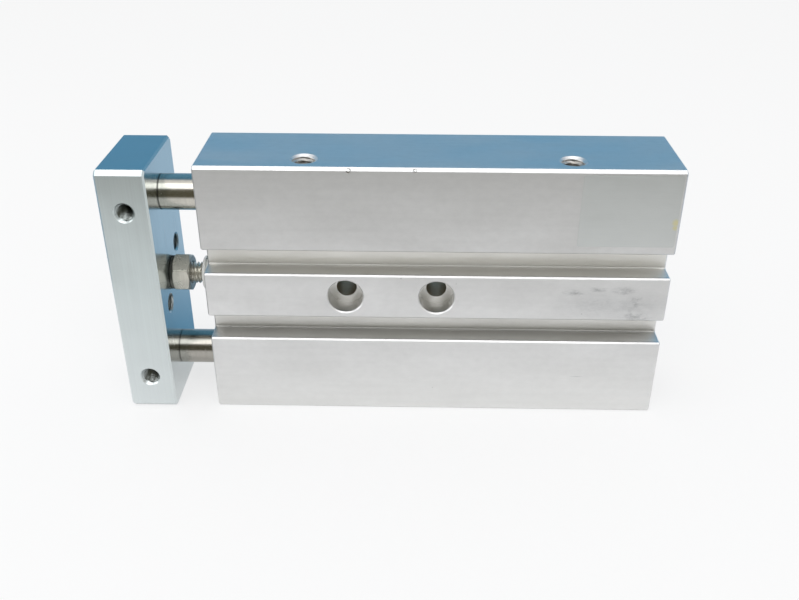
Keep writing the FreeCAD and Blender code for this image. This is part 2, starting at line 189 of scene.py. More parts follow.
class Value:
    """A node's output that can be reckoned with: each sum adds a Math node.

    It is the first output until a key gives another. a | b is the larger of two values, and
    a & b the smaller.
    """

    def __init__(self, node, output=0):
        self.node = node
        self.tree = node.id_data
        self.socket = node.outputs[output] if node.outputs else None

    def __getitem__(self, output):
        return Value(self.node, output)

    def step(self, operation, other=0.0, clamp=False):
        inputs = {0: self, 1: other}
        return add_node(self.tree, "ShaderNodeMath", inputs, operation=operation, use_clamp=clamp)

    __add__ = partialmethod(step, "ADD")
    __sub__ = partialmethod(step, "SUBTRACT")
    __mul__ = partialmethod(step, "MULTIPLY")
    __truediv__ = partialmethod(step, "DIVIDE")
    __gt__ = partialmethod(step, "GREATER_THAN")
    __lt__ = partialmethod(step, "LESS_THAN")
    __or__ = partialmethod(step, "MAXIMUM")
    __and__ = partialmethod(step, "MINIMUM")
    __abs__ = partialmethod(step, "ABSOLUTE")

    def __rsub__(self, other):
        return add_node(self.tree, "ShaderNodeMath", {0: other, 1: self}, operation="SUBTRACT")

    def fit(self, low, high, to_low=0.0, to_high=1.0):
        """The value mapped from one range to another and kept inside it."""
        inputs = {0: self, 1: low, 2: high, 3: to_low, 4: to_high}
        return add_node(self.tree, "ShaderNodeMapRange", inputs, clamp=True)

    def between(self, first, second):
        """The first value where this is 0 and the second where it is 1."""
        return add_node(self.tree, "ShaderNodeMix", {0: self, 2: first, 3: second})


def add_node(tree, kind, inputs=None, **settings):
    """Adds a node with its settings, links or sets its inputs, and returns its output."""
    node = tree.nodes.new(kind)
    for name, value in settings.items():
        setattr(node, name, value)
    for key, value in (inputs or {}).items():
        socket = node.inputs[key]
        if isinstance(value, Value):
            tree.links.new(value.socket, socket)
        else:
            socket.default_value = (*value, 1.0) if socket.type == "RGBA" else value
    return Value(node)


def emptied(owner):
    """The node tree of a material or world, with nothing in it."""
    owner.use_nodes = True
    owner.node_tree.nodes.clear()
    return owner.node_tree


# ---- Patterns ----

def shifted(place, move=(0, 0, 0), scale=(1, 1, 1), turn=(0, 0, 0)):
    """A place moved by millimetres, turned and stretched about the new middle."""
    back = {0: place, 1: [-v * MM for v in move]}
    moved = add_node(place.tree, "ShaderNodeVectorMath", back, operation="ADD")
    inputs = {"Vector": moved, "Scale": scale, "Rotation": [math.radians(v) for v in turn]}
    return add_node(place.tree, "ShaderNodeMapping", inputs)


def pattern(place, size, detail=2.0, roughness=0.5, stretch=None, turn=(0, 0, 0)):
    """Soft blotches about this many mm across, and longer where the stretch is below 1."""
    if stretch:
        place = shifted(place, scale=stretch, turn=turn)
    inputs = {"Vector": place, "Scale": 1000 / size, "Detail": detail, "Roughness": roughness}
    return add_node(place.tree, "ShaderNodeTexNoise", inputs)


def flecks(place, apart, core, rim):
    """1 at scattered dots about this many mm apart; core and rim are shares of that."""
    inputs = {"Vector": place, "Scale": 1000 / apart}
    return add_node(place.tree, "ShaderNodeTexVoronoi", inputs)["Distance"].fit(core, rim, 1.0, 0.0)


def rings(place, pitch):
    """Turning lines, this many mm apart, round the bore that is nearest."""
    x, y, z = add_node(place.tree, "ShaderNodeSeparateXYZ", {0: place})
    z = abs(z) - rod_heights[0]
    radius = (y * y + z * z).step("SQRT")
    wander = pattern(place, 4.0) * (0.15 * pitch * MM)
    return ((radius + wander + x) * (2 * math.pi / (pitch * MM))).step("SINE")


def away_from(place, point):
    """How far a place is from a point, in metres."""
    inputs = {0: place, 1: point}
    return add_node(place.tree, "ShaderNodeVectorMath", inputs, operation="DISTANCE")["Value"]


def spots(place, marks, core=0.7):
    """1 at small ragged marks, each (x, y, z, radius) in millimetres, and 0 elsewhere."""
    ragged = pattern(place, 0.5) * 0.0004
    return reduce(or_, [
        (away_from(place, (x * MM, y * MM, z * MM)) + ragged).fit(
            core * radius * MM, 1.3 * radius * MM, 1.0, 0.0)
        for x, y, z, radius in marks
    ])


def bored(place, across, centres, radius):
    """1 inside round holes; across is 1, 1, 0 for holes along Z, and centres are in metres."""
    inputs = {0: place, 1: across}
    flat = add_node(place.tree, "ShaderNodeVectorMath", inputs, operation="MULTIPLY")
    axes = [[value * keep for value, keep in zip(centre, across)] for centre in centres]
    return reduce(or_, [away_from(flat, axis) < radius * MM for axis in axes])


def from_middle(x, low, high):
    """How far a place is from the middle of a part along X, and half the part's length."""
    return abs(x - (low.x + high.x) / 2), (high.x - low.x) / 2


def layered(base, *layers):
    """Lays colours over a base; each layer is where it lies and its colour."""
    for cover, shade in layers:
        inputs = {0: cover, 6: base, 7: shade}
        base = add_node(cover.tree, "ShaderNodeMix", inputs, data_type="RGBA")[2]
    return base


def shaded(cover, shade, share):
    """A colour that goes to this share of itself where the cover is 1."""
    return layered(shade, (cover, [v * share for v in shade]))


# ---- Finishes ----
# Each one gets the place of a point on the piece, in metres, and the colours. It gives the
# metallic share, the colour, the roughness, a height and how deep its full swing is in mm.

# The block's sensor grooves in mm: where the walls begin and end behind the front face, how
# far they reach from the middle, and the levels of the lower flanks, each with the share of
# painted shade in its inner corner.
GROOVE_WALLS = (0.9, 5.25)
GROOVE_REACH = 11.3
GROOVE_FLANKS = ((5.3, 0.13), (-11.0, 0.32))
# Radii in mm, a little over those of the holes, inside which their walls get painted shade.
MOUNTING_HOLE, PORT_HOLE, YOKE_HOLE = 2.4, 2.6, 2.06


def anodised_block(place, finishes):
    """Anodised extruded aluminium: satin, with drawing lines, rubs, nicks and sawn ends.

    Its grain is finer than 0.05 mm, and is drawn as coarse as it needs to show.
    """
    x, y, z = add_node(place.tree, "ShaderNodeSeparateXYZ", {0: place})
    grain = pattern(place, 0.22, 3.0, 0.6)
    lines = pattern(place, 0.45, 3.0, 0.6, (0.012, 1, 1))
    cloud = pattern(place, 9.0, 3.0, stretch=(0.4, 1, 1))
    mottle = pattern(place, 1.5, 4.0, 0.6, (0.7, 1, 1))
    brush = pattern(place, 1.2, 3.0, stretch=(0.02, 1, 1))
    sawn = pattern(place, 0.3, stretch=(1, 0.05, 1), turn=(12, 0, 0))
    out, half = from_middle(x, block_low, block_high)
    on_end = out > half - 0.05 * MM

    nicks = spots(place, [
        (-8.6, front + 0.1, top - 0.5, 0.6), (5.0, front + 0.1, top - 0.5, 0.52),
        (-31.0, front, -top, 0.5), (-29.4, front, -top, 0.35), (-25.0, front, -top, 0.4),
        (13.5, front, -top, 0.3),
    ])
    specks = spots(place, [
        (42.0, front, -3.6, 0.34), (9.6, front, -23.9, 0.3), (6.3, front, 11.2, 0.24),
        (2.2, front, 4.7, 0.3), (14.2, front, 3.6, 0.26),
    ])
    rim = nicks * 4.0 * (1.0 - nicks) * pattern(place, 0.55).fit(0.42, 0.56) | specks * 0.7
    stretched = shifted(place, scale=(0.36, 1, 1))
    rubs = spots(stretched, [
        (18.2, front, 2.2, 1.2), (19.4, front, -4.3, 1.5), (14.4, front, 1.6, 1.0),
        (16.2, front, 2.4, 0.9),
    ], 0.0) | spots(place, [(53.6, front, -0.7, 2.2), (52.6, front, -3.4, 2.0)], 0.0)
    hazy = spots(stretched, [(16.6, front, -1.2, 3.6), (18.6, front, -1.6, 3.6)], 0.0)
    rub_lines = pattern(place, 0.9, 5.0, 0.75, (0.5, 1, 1))
    rubs = rubs * rub_lines.fit(0.34, 0.66, 0.05, 0.9) | hazy * rub_lines.fit(0.3, 0.7, 0.2, 0.5)
    along_scratch = shifted(place, (42.5, front, -20.3), (0.12, 1, 1), (0, 12, 0))
    scratch = spots(along_scratch, [(0, 0, 0, 0.3)])

    begin, end = [(front + depth) * MM for depth in GROOVE_WALLS]
    recess = ((y > begin) * (y < end)) * ((abs(z) < GROOVE_REACH * MM) * (1.0 - on_end))
    # Painted shade in the inner corners of the grooves' lower flanks, stronger further into the
    # groove.
    corners = []
    for level, share in GROOVE_FLANKS:
        above = z - level * MM
        corners.append((above > -0.05 * MM) * above.fit(0.1 * MM, 1.1 * MM, share, 0.0))
    inwards = y.fit((front + 1.4) * MM, (front + 4.8) * MM, 0.0, 1.15)
    corner = reduce(or_, corners) * recess * inwards
    spread = mounts["body_holes"]["dims"]["spacing_x_mm"] / 2 * MM
    # Deep in the mounting holes: painted shade, warm-tinted like bare drilled metal.
    drilled_hole_shade = bored(place, (1, 0, 1), [(spread, 0, 0), (-spread, 0, 0)], MOUNTING_HOLE)
    ports = [mounts["port_rod_side"]["pos_m"], mounts["port_closed_side"]["pos_m"]]
    # Painted shade on the port walls, from just under the top face down to 5.5 mm, warm-tinted.
    port_shade = z.fit((top - 1.2) * MM, (top - 0.4) * MM, 1.0, 0.0) * (z > (top - 5.5) * MM)

    base = layered(
        shaded(cloud.fit(0.3, 0.7, 0.0, 0.26), finishes.block, 0.86),
        (mottle.fit(0.35, 0.7, 0.0, 0.12), (0.5, 0.5, 0.5)),
        (brush.fit(0.4, 0.7, 0.0, 0.05), (0.5, 0.5, 0.5)),
        # Painted light: the front's recesses are lighter inside, more so towards the top.
        (recess * z.fit(-6 * MM, 6 * MM, 0.35, 0.6), (0.95, 0.94, 0.9)),
        # Painted shade in the grooves' inner corners.
        (corner, (0.12, 0.12, 0.1)),
        # Painted light: the block is lighter towards the bottom.
        (z.fit(-30 * MM, -12 * MM, 0.35, 0.0), (0.93, 0.93, 0.9)),
        (rubs * 0.85, finishes.smudge),
        (scratch * 0.3, finishes.smudge),
        (bored(place, (1, 1, 0), ports, PORT_HOLE) * port_shade * 0.6, (0.4, 0.36, 0.3)),
        (drilled_hole_shade * (y > (front + 4.7) * MM) * 0.62, (0.6, 0.45, 0.27)),
        (rim * 0.8, (0.12, 0.12, 0.11)),
    )
    rough = (grain.fit(0.3, 0.7, 0.38, 0.5) + cloud.fit(0.35, 0.65, -0.05, 0.05)
             + brush.fit(0.35, 0.65, -0.015, 0.015) - nicks * 0.2)
    height = on_end.between(lines * 0.25 + grain, sawn * 1.4 + grain * 0.4) - nicks * 8.0
    return 1.0, base, rough, height, 0.012


def milled_plate(place, finishes):
    """Milled aluminium: bright, with cutter lines on its broad faces and satin narrow sides.

    A cutter's lines are about 0.1 mm apart, and are drawn as coarse as they need to show.
    """
    x, y, z = add_node(place.tree, "ShaderNodeSeparateXYZ", {0: place})
    brush = pattern(place, 0.9, stretch=(1, 1, 0.04))
    cutter = pattern(place, 0.4, 3.0, 0.6, (1, 1, 0.015))
    cloud = pattern(place, 7.0, 3.0)
    out, half = from_middle(x, yoke_low, yoke_high)
    broad = out > half - 0.03 * MM
    side_holes, face_holes = [
        [mounts[f"yoke_{group}_thread_{end}"]["pos_m"] for end in ("upper", "lower")]
        for group in ("side", "face")
    ]
    side_wall = y.fit(yoke_low.y + 0.3 * MM, yoke_low.y + 0.9 * MM)
    # Painted shade inside the side and face holes.
    hole_shade = (
        (y < -4.5 * MM) * (bored(place, (1, 0, 1), side_holes, YOKE_HOLE) * side_wall)
        | bored(place, (0, 1, 1), face_holes, YOKE_HOLE) * (out < half - 0.3 * MM)
    )
    base = layered(
        shaded(cloud.fit(0.3, 0.7, 0.0, 0.2), finishes.plate, 0.88),
        (cutter.fit(0.35, 0.7, 0.0, 0.13), (0.4, 0.42, 0.42)),
        # Painted light: the yoke is lighter towards the bottom.
        (z.fit(-30 * MM, 5 * MM, 0.45, 0.0), (0.9, 0.93, 0.94)),
        # Painted reflection: the top face is tinted blue like the cards above it.
        ((z > yoke_high.z - 0.03 * MM) * 0.45, (0.3, 0.5, 0.58)),
        (hole_shade * 0.6, (0.1, 0.11, 0.1)),
        (brush.fit(0.4, 0.7, 0.0, 0.03), (0.4, 0.42, 0.42)),
    )
    rough = broad.between(cloud.fit(0.3, 0.7, 0.28, 0.34), cutter.fit(0.3, 0.7, 0.13, 0.28))
    return 1.0, base, rough, broad.between(brush * 0.15, cutter * 0.9), 0.008


def turned_aluminium(place, finishes):
    """Turned aluminium of the caps and pistons, with fine lines round their bore."""
    base = shaded(pattern(place, 3.0, 3.0).fit(0.3, 0.7, 0.0, 0.3), finishes.turned, 0.8)
    rough = pattern(place, 0.4).fit(0.3, 0.7, 0.26, 0.38)
    return 1.0, base, rough, rings(place, 0.14), 0.004


def ground_rod(place, finishes):
    """Ground and hardened steel: nearly a mirror, with hair lines and a few dull streaks.

    Grinding leaves lines finer than 0.02 mm, which are drawn as coarse as they need to show.
    """
    x, _, z = add_node(place.tree, "ShaderNodeSeparateXYZ", {0: place})
    lines = pattern(place, 0.12, stretch=(1, 0.02, 0.02))
    streaks = pattern(place, 1.2, 3.0, stretch=(0.08, 1, 1))
    # Painted shadow: a dark ring where the rod meets the yoke's inner face.
    seat_shadow = x.fit(yoke_high.x + 0.1 * MM, yoke_high.x + 0.3 * MM, 0.9, 0.0)
    base = layered(
        shaded(streaks.fit(0.4, 0.7, 0.0, 0.25), finishes.rod, 0.8),
        (seat_shadow, [v * 0.12 for v in finishes.rod]),
        (lines.fit(0.4, 0.7, 0.0, 0.22), (0.3, 0.29, 0.27)),
        # Painted shade: darker towards the bottom, most on the lower rod.
        (z.fit(-10 * MM, 10 * MM, 0.5, 0.04), (0.24, 0.23, 0.21)),
    )
    rough = streaks.fit(0.3, 0.7, 0.17, 0.25) + lines.fit(0.3, 0.7, -0.04, 0.05)
    return 1.0, base, rough, lines, 0.0012


def plated_steel(place, finishes):
    """Plated steel of the nut and screws: smooth satin with stains and handling marks."""
    x, _, z = add_node(place.tree, "ShaderNodeSeparateXYZ", {0: place})
    stains = pattern(place, 1.6, 4.0, 0.6)
    lines = pattern(place, 0.22, 3.0, stretch=(1, 0.04, 0.04))
    low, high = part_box("lock_nut")
    back = low.x + bpy.context.scene.cylinder_fittings.nut_stand_off * MM
    # Painted shadow, nearly black, on the nut's collar and the screw in the gap beside the yoke;
    # rougher there too.
    gap_shadow = (x > yoke_high.x - 1 * MM) * (x < back + 0.02 * MM)
    # Painted shade on the nut's front face.
    nut_front_shade = (x > high.x - 0.04 * MM) * (x < high.x + 0.02 * MM)
    base = layered(
        shaded(stains.fit(0.45, 0.75, 0.0, 0.4), finishes.plated, 0.7),
        (lines.fit(0.4, 0.7, 0.0, 0.25), (0.35, 0.34, 0.3)),
        (gap_shadow * 0.92, (0.03, 0.035, 0.03)),
        (nut_front_shade * 0.65, (0.12, 0.12, 0.11)),
        # Painted shade: darker below the screw axis, on the nut's lower half and the lower rod
        # screw.
        (z.fit(-0.9 * MM, 0.3 * MM, 0.5, 0.0), (0.42, 0.42, 0.38)),
    )
    return 0.7, base, stains.fit(0.3, 0.7, 0.24, 0.36) | gap_shadow * 0.7, lines, 0.006


def spring_steel(place, finishes):
    """Phosphated spring steel: dark, a little worn and speckled."""
    speckle = pattern(place, 0.18, 3.0, 0.7)
    base = shaded(speckle.fit(0.45, 0.75), finishes.spring, 2.2)
    return 1.0, base, speckle.fit(0.3, 0.7, 0.5, 0.36), speckle, 0.006


def bearing_bronze(place, finishes):
    """Turned bearing bronze, with darker pores that hold oil."""
    pores = flecks(place, 0.35, 0.12, 0.3)
    base = shaded(pores, finishes.bronze, 0.35)
    return 1.0, base, pores.fit(0.0, 1.0, 0.28, 0.5), rings(place, 0.12) * 0.4 - pores, 0.004


def black_rubber(place, finishes):
    """Moulded rubber with a fine skin and a trace of grey bloom."""
    skin = pattern(place, 0.12, 3.0, 0.6)
    bloom = pattern(place, 1.8, 4.0, 0.6)
    base = shaded(bloom.fit(0.5, 0.8, 0.0, 0.5), finishes.rubber, 3.0)
    return 0.0, base, skin.fit(0.3, 0.7, 0.48, 0.66), skin, 0.006


def buffer_plastic(place, finishes):
    """Pale moulded plastic with a faint grain and a few grey contact marks."""
    grain = pattern(place, 0.25)
    marks = pattern(place, 1.1, 4.0, 0.65)
    base = shaded(marks.fit(0.55, 0.75, 0.0, 0.2), finishes.buffer, 0.7)
    return 0.0, base, grain.fit(0.3, 0.7, 0.34, 0.48), grain, 0.006


def magnet_compound(place, finishes):
    """Pressed magnet compound: dark, with coarse metallic specks."""
    specks = flecks(place, 0.3, 0.05, 0.16)
    base = shaded(specks, finishes.magnet, 3.0)
    return 0.3, base, specks.fit(0.0, 1.0, 0.62, 0.4), specks, 0.006


def label_foil(place, finishes):
    """Silver foil: brushed along the block, softly creased, with old glue at one side.

    Brushing is finer than 0.05 mm, and is drawn as coarse as it needs to show.
    """
    brushing = pattern(place, 0.16, stretch=(0.02, 1, 1))
    creases = pattern(place, 3.2, stretch=(0.7, 1, 1), turn=(0, 25, 0))
    edge = block_high.x / MM - 1.0
    glue = spots(place, [(edge, front, top - 11.4, 0.9), (edge, front, top - 12.6, 0.7)])
    base = layered(
        shaded(creases.fit(0.35, 0.7, 0.0, 0.14), finishes.foil, 0.85),
        (glue * 0.9, finishes.glue),
    )
    return 0.85, base, brushing.fit(0.3, 0.7, 0.34, 0.46), creases * 3.0 + brushing, 0.012


FINISH_MAKERS = {maker.__name__: maker for maker in (
    anodised_block, milled_plate, turned_aluminium, ground_rod, plated_steel, spring_steel,
    bearing_bronze, black_rubber, buffer_plastic, magnet_compound, label_foil,
)}


def finish(slot):
    """The finished material for one of the record's material slots, made once."""
    made = bpy.data.materials.get(slot + "_finish")
    if made:
        return made
    material = bpy.data.materials.new(slot + "_finish")
    tree = emptied(material)
    place = add_node(tree, "ShaderNodeTexCoord")["Object"]
    finishes = bpy.context.scene.cylinder_finishes
    metallic, base, rough, height, depth = FINISH_MAKERS[slot](place, finishes)
    inputs = {"Height": height, "Distance": depth * MM}
    shader = add_node(tree, "ShaderNodeBsdfPrincipled", {
        "Metallic": metallic, "Base Color": base, "Roughness": rough,
        "Normal": add_node(tree, "ShaderNodeBump", inputs),
    })
    add_node(tree, "ShaderNodeOutputMaterial", {0: shader})
    return material


# ---- Mesh helpers ----

def placed(name, data):
    """A new object, linked to the scene."""
    made = bpy.data.objects.new(name, data)
    bpy.context.scene.collection.objects.link(made)
    return made


def remove(thing):
    """Removes a helper object and its mesh."""
    mesh = thing.data
    bpy.data.objects.remove(thing)
    bpy.data.meshes.remove(mesh)


def new_piece(name, mesh, body, slot, replaces=None, sharp=35):
    piece = placed(name, mesh)
    mesh.materials.clear()
    mesh.materials.append(finish(slot))
    mesh.polygons.foreach_set("use_smooth", [True] * len(mesh.polygons))
    mesh.set_sharp_from_angle(angle=math.radians(sharp))
    mesh.update()
    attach(piece, body)
    if replaces:
        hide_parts(replaces)


def hexagon(across_flats):
    """The radius of a hexagon with two level flats, as a function of the angle."""
    def radius(angle):
        turn = (angle + math.pi / 6) % (math.pi / 3) - math.pi / 6
        return across_flats / 2 / math.cos(turn)
    return radius


def rounded_hexagon(across_flats, rounding):
    """As hexagon, with rounded corners, and the angles at which its outline needs points."""
    flat = across_flats / 2
    centre = (flat - rounding) / math.cos(math.pi / 6)
    meet = math.atan2(rounding / 2, centre + rounding * math.cos(math.pi / 6))

    def radius(angle):
        turn = abs(angle % (math.pi / 3) - math.pi / 6)
        if turn > meet:
            return flat / math.cos(math.pi / 6 - turn)
        return centre * math.cos(turn) + math.sqrt(rounding ** 2 - (centre * math.sin(turn)) ** 2)

    flank = [math.radians(v) for v in (-30, -24, -18, -13, -9, -6, -3.5)]
    corner = [meet * share for share in (-1, -0.5, 0, 0.5, 1)]
    offsets = flank + corner + [-v for v in reversed(flank[1:])]
    middles = [math.radians(30 + 60 * side) for side in range(6)]
    return radius, [middle + offset for middle in middles for offset in offsets]


def turned(build, rows, height=0.0, angles=None, ring=False):
    """Adds a closed form round a line along X.

    The rows are (x, radius) in mm from pole to pole, or round the section of a ring, and
    either of the two may be a function of the angle.
    """
    angles = angles or [
        2 * math.pi * (step + 0.5) / TURNED_COLUMNS + math.pi / 2 for step in range(TURNED_COLUMNS)
    ]
    columns = []
    for x, radius in rows:
        if radius == 0:
            columns.append([build.verts.new((x * MM, 0, height))])
            continue
        row = []
        for angle in angles:
            along = (x(angle) if callable(x) else x) * MM
            r = (radius(angle) if callable(radius) else radius) * MM
            row.append(build.verts.new((along, r * math.cos(angle), height + r * math.sin(angle))))
        columns.append(row)
    following = columns[1:] + columns[:1] if ring else columns[1:]
    for first, second in zip(columns, following):
        for step in range(len(angles)):
            after = (step + 1) % len(angles)
            corners = [first[step % len(first)], first[after % len(first)],
                       second[after % len(second)], second[step % len(second)]]
            build.faces.new(list(dict.fromkeys(corners)))


def prism(build, first, second):
    """Adds a closed form between two outlines of as many points, in mm."""
    loops = [[build.verts.new([v * MM for v in spot]) for spot in line] for line in (first, second)]
    for loop in loops:
        build.faces.new(loop)
    for step in range(len(first)):
        after = (step + 1) % len(first)
        build.faces.new([loops[0][step], loops[0][after], loops[1][after], loops[1][step]])


def rounded(x, radius, rounding, towards, steps=6):
    """Rows of a quarter round at the edge of a turned form; towards is the way it falls."""
    angles = [math.pi / 2 * step / steps for step in range(steps + 1)]
    return [(x - towards * rounding * (1 - math.sin(angle)),
             radius - rounding * (1 - math.cos(angle))) for angle in angles]


def to_mesh(build, name, outward=True):
    """Ends a mesh build as an ordinary mesh, with its faces turned outwards if asked."""
    if outward:
        bmesh.ops.recalc_face_normals(build, faces=build.faces)
    mesh = bpy.data.meshes.new(name)
    build.to_mesh(mesh)
    build.free()
    return mesh


def evaluated(holder):
    """The plain mesh that an object's modifiers make; the holder is removed."""
    holder.data.update()
    graph = bpy.context.evaluated_depsgraph_get()
    mesh = bpy.data.meshes.new_from_object(holder.evaluated_get(graph), depsgraph=graph)
    remove(holder)
    return mesh


def joined(name, meshes):
    """One mesh from several closed ones."""
    build = bmesh.new()
    for mesh in meshes:
        build.from_mesh(mesh)
        bpy.data.meshes.remove(mesh)
    return to_mesh(build, name, outward=False)


def grown(tree, places, values):
    """Runs a geometry tree on places, in metres, and returns the plain mesh that it makes."""
    base = bpy.data.meshes.new("places")
    base.from_pydata([Vector(place) for place in places], [], [])
    holder = placed(tree.name, base)
    modifier = holder.modifiers.new("grow", "NODES")
    modifier.node_group = tree
    for item in tree.interface.items_tree:
        if item.item_type == "SOCKET" and item.name in values:
            modifier[item.identifier] = values[item.name]
    return evaluated(holder)


def start_tree(name, inputs):
    """A new geometry tree with these inputs; returns its group input."""
    tree = bpy.data.node_groups.new(name, "GeometryNodeTree")
    face = tree.interface
    face.new_socket("Places", in_out="INPUT", socket_type="NodeSocketGeometry")
    for label, kind in inputs:
        face.new_socket(label, in_out="INPUT", socket_type="NodeSocket" + kind)
    face.new_socket("Geometry", in_out="OUTPUT", socket_type="NodeSocketGeometry")
    return add_node(tree, "NodeGroupInput")


def end_tree(tree, instances, material):
    """Ends a geometry tree: real geometry, merged where it meets, with its finish."""
    real = add_node(tree, "GeometryNodeRealizeInstances", {0: instances})
    merged = add_node(tree, "GeometryNodeMergeByDistance", {"Geometry": real, "Distance": 1e-6})
    inputs = {"Geometry": merged, "Material": material}
    add_node(tree, "NodeGroupOutput", {0: add_node(tree, "GeometryNodeSetMaterial", inputs)})


def thread_tree():
    """A sleeve with a helical thread on one side, repeated at each place.

    It is rolled up from a grid: the threaded rows, two plain rows behind them and the first
    row again, which closes it.
    """
    made = bpy.data.node_groups.get("threaded_sleeve")
    if made:
        return made
    given = start_tree("threaded_sleeve", [
        ("Start Radius", "Float"), ("Thread Height", "Float"), ("Pitch", "Float"),
        ("Length", "Float"), ("Plain Radius", "Float"), ("Rows", "Int"), ("Steps", "Int"),
        ("Inside", "Bool"), ("Turn", "Rotation"), ("Finish", "Material"),
    ])
    tree, rows, pitch = given.tree, given["Rows"], given["Pitch"]
    grid = add_node(tree, "GeometryNodeMeshGrid", {
        "Vertices X": given["Steps"] + 1.0, "Vertices Y": rows + 3.0,
    })
    spot = add_node(tree, "GeometryNodeInputPosition")
    across, up, _ = add_node(tree, "ShaderNodeSeparateXYZ", {0: spot})
    turn = across + 0.5
    row = (up + 0.5) * (rows + 2.0)
    share = row.step("DIVIDE", rows - 1.0, clamp=True)
    along = share * given["Length"] * (row < rows + 0.5)
    plain = (row > rows - 0.5) * (row < rows + 1.5)

    crest = (along / pitch - turn).step("PINGPONG", 0.5).fit(0.06, 0.38, 1.0, 0.0)
    ends = along & (given["Length"] - along)
    fade = ends.step("DIVIDE", pitch * 0.7, clamp=True)
    threaded = given["Start Radius"] + crest * fade * given["Thread Height"]
    radius = plain.between(threaded, given["Plain Radius"])
    angle = turn * (2 * math.pi)
    place = add_node(tree, "ShaderNodeCombineXYZ", {
        0: radius * angle.step("COSINE"), 1: radius * angle.step("SINE"), 2: along,
    })
    sleeve = add_node(tree, "GeometryNodeSetPosition", {"Geometry": grid, "Position": place})
    closed = add_node(tree, "GeometryNodeMergeByDistance", {"Geometry": sleeve, "Distance": 1e-6})
    inputs = {"Mesh": closed, "Selection": given["Inside"]}
    copies = add_node(tree, "GeometryNodeInstanceOnPoints", {
        "Points": given["Places"], "Instance": add_node(tree, "GeometryNodeFlipFaces", inputs),
        "Rotation": given["Turn"],
    })
    end_tree(tree, copies, given["Finish"])
    return tree


def threads(places, axis, nominal, depth, pitch, run, slot, inside=True):
    """Threads of this length from each place along an axis; sizes in mm, places in metres."""
    sizes = bpy.context.scene.cylinder_threads
    start = nominal / 2 if inside else nominal / 2 - depth
    plain = nominal / 2 + SLEEVE_WALL if inside else start - 3 * SLEEVE_WALL
    return grown(thread_tree(), places, {
        "Start Radius": start * MM,
        "Thread Height": (-depth if inside else depth) * MM,
        "Pitch": pitch * MM,
        "Length": run * MM,
        "Plain Radius": plain * MM,
        "Rows": max(12, round(run / pitch * sizes.rows_per_pitch)),
        "Steps": sizes.steps_per_turn,
        "Inside": inside,
        "Turn": Vector((0, 0, 1)).rotation_difference(Vector(axis)).to_euler(),
        "Finish": finish(slot),
    })


def rib_tree():
    """Ribs round a screw head, for each head's place."""
    given = start_tree("head_ribs", [
        ("Count", "Int"), ("Radius", "Float"), ("Rib", "Object"), ("Finish", "Material"),
    ])
    tree = given.tree
    inputs = {"Vertices": given["Count"], "Radius": given["Radius"]}
    circle = add_node(tree, "GeometryNodeMeshCircle", inputs)
    rib = add_node(
        tree, "GeometryNodeObjectInfo", {"Object": given["Rib"]}, transform_space="ORIGINAL"
    )["Geometry"]
    spot = add_node(tree, "GeometryNodeInputPosition")
    facing = add_node(tree, "FunctionNodeAlignRotationToVector", {"Vector": spot}, axis="X")
    around = add_node(tree, "GeometryNodeInstanceOnPoints", {
        "Points": circle, "Instance": rib, "Rotation": facing,
    })
    upright = add_node(tree, "GeometryNodeTransform", {
        "Geometry": around, "Rotation": (0.0, math.radians(90), 0.0),
    })
    inputs = {"Points": given["Places"], "Instance": upright}
    end_tree(tree, add_node(tree, "GeometryNodeInstanceOnPoints", inputs), given["Finish"])
    return tree


# ---- Pieces ----

def ends_of(node):
    """Where a node begins and ends along X, in mm."""
    return [corner.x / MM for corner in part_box(node)]


class CYLINDER_OT_finish_parts(bpy.types.Operator):
    """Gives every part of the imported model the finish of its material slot"""

    bl_idname = "cylinder.finish_parts"
    bl_label = "Finish parts"

    def execute(self, context):
        slots = {row["node"]: row["material_slot"] for row in frame["record"]["subparts"]}
        for name, part in frame["nodes"].items():
            for slot in part.material_slots:
                slot.material = finish(slots[name])
        return {"FINISHED"}


class CYLINDER_OT_port_threads(bpy.types.Operator):
    """Cuts the look of an M5 thread into both air ports"""

    bl_idname = "cylinder.port_threads"
    bl_label = "Port threads"

    def execute(self, context):
        sizes = context.scene.cylinder_threads
        ports = [mounts["port_rod_side"], mounts["port_closed_side"]]
        run = ports[0]["dims"]["length_mm"]
        places = [Vector(p["pos_m"]) + Vector((0, 0, run / 2 * MM)) for p in ports]
        mesh = threads(places, (0, 0, -1), 5.0, sizes.m5_depth, sizes.m5_pitch, run,
                       "anodised_block")
        new_piece("port_threads", mesh, "block", "anodised_block")
        return {"FINISHED"}


class CYLINDER_OT_yoke_threads(bpy.types.Operator):
    """Cuts the look of M4 threads into the yoke's side and face holes"""

    bl_idname = "cylinder.yoke_threads"
    bl_label = "Yoke threads"

    def execute(self, context):
        sizes = context.scene.cylinder_threads
        meshes = []
        for group, axis in (("yoke_side_thread", (0, 1, 0)), ("yoke_face_thread", (1, 0, 0))):
            holes = [mounts[group + "_upper"], mounts[group + "_lower"]]
            run = holes[0]["dims"]["length_mm"]
            places = [Vector(h["pos_m"]) - Vector(axis) * (run / 2 * MM) for h in holes]
            for place in places:
                place.y = max(place.y, yoke_low.y + 0.3 * MM)
            meshes.append(threads(places, axis, 4.0, sizes.m4_depth, sizes.m4_pitch, run,
                                  "milled_plate"))
        new_piece("yoke_threads", joined("yoke_threads", meshes), "carriage", "milled_plate")
        return {"FINISHED"}


